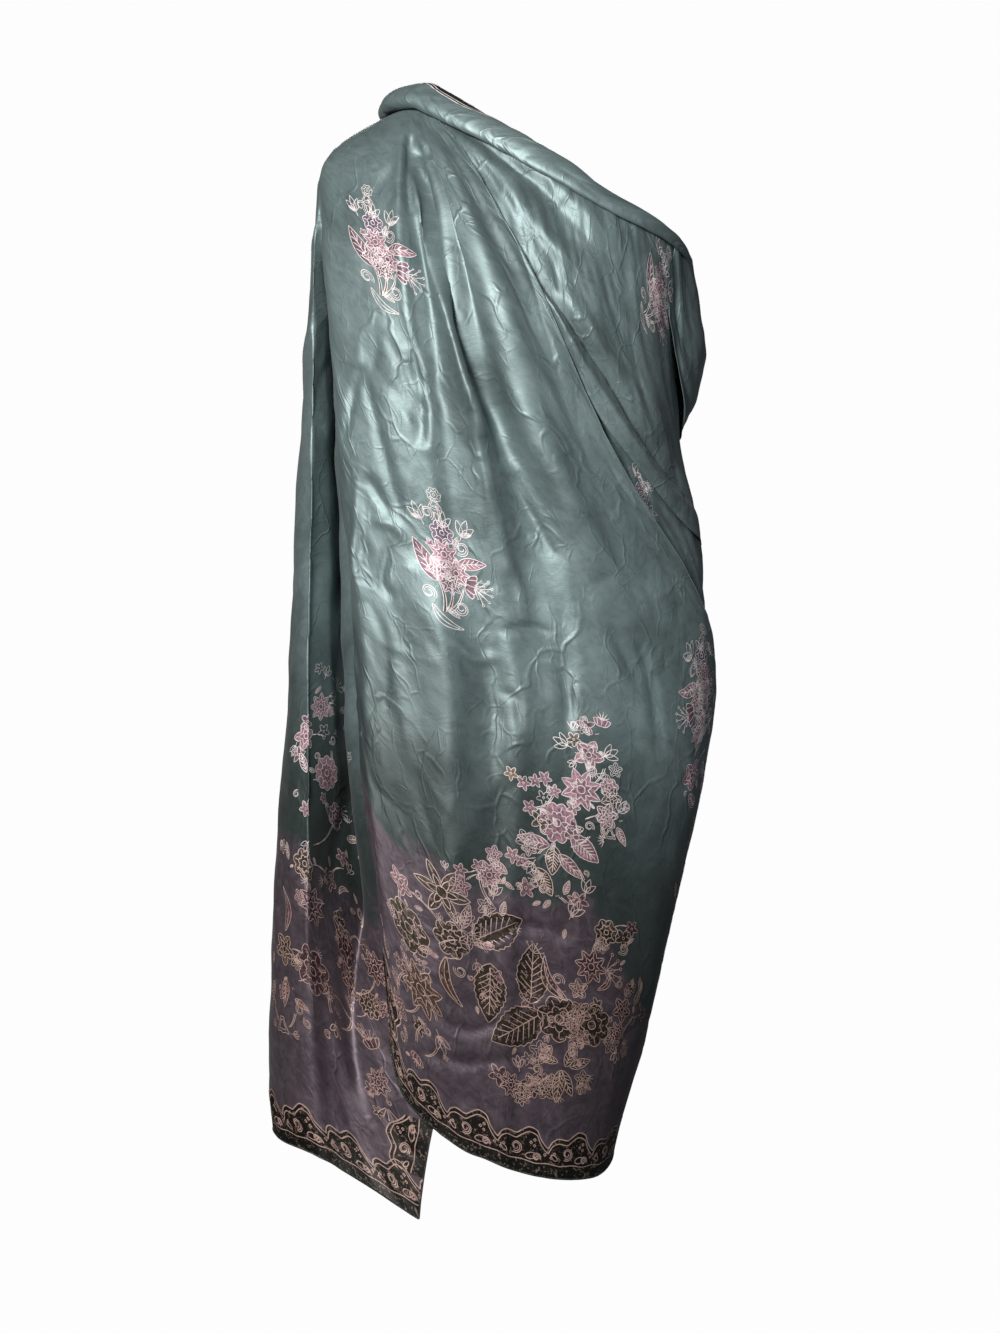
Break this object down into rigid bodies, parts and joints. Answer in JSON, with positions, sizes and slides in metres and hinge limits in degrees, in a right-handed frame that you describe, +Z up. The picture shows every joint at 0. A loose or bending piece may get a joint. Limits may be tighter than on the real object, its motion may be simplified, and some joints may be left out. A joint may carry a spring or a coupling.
{
  "type": "silk scarf draped over one shoulder",
  "caption": "Large printed satin scarf worn as a wrap: gathered on one shoulder, swept across the chest and under the other arm, long ends hanging in front and behind.",
  "frame": {"origin": "top of the shoulder that carries the scarf, at the gather", "axes": "+Z up along the hanging cloth, -Y towards the front of the wearer, +X towards the wearer's other shoulder"},
  "size_m": [0.4158, 0.2593, 1.0308],
  "materials": {
    "front_fall": "satin, printed",
    "back_fall": "satin, printed",
    "torso_sweep": "satin, printed",
    "sweep_fold": "satin",
    "underarm_loop": "satin",
    "neck_roll": "satin, turned over edge"
  },
  "bodies": {
    "root": {"front_fall": "front_fall", "back_fall": "back_fall", "torso_sweep": "torso_sweep", "sweep_fold": "sweep_fold", "underarm_loop": "underarm_loop", "neck_roll": "neck_roll"}
  },
  "joints": []
}
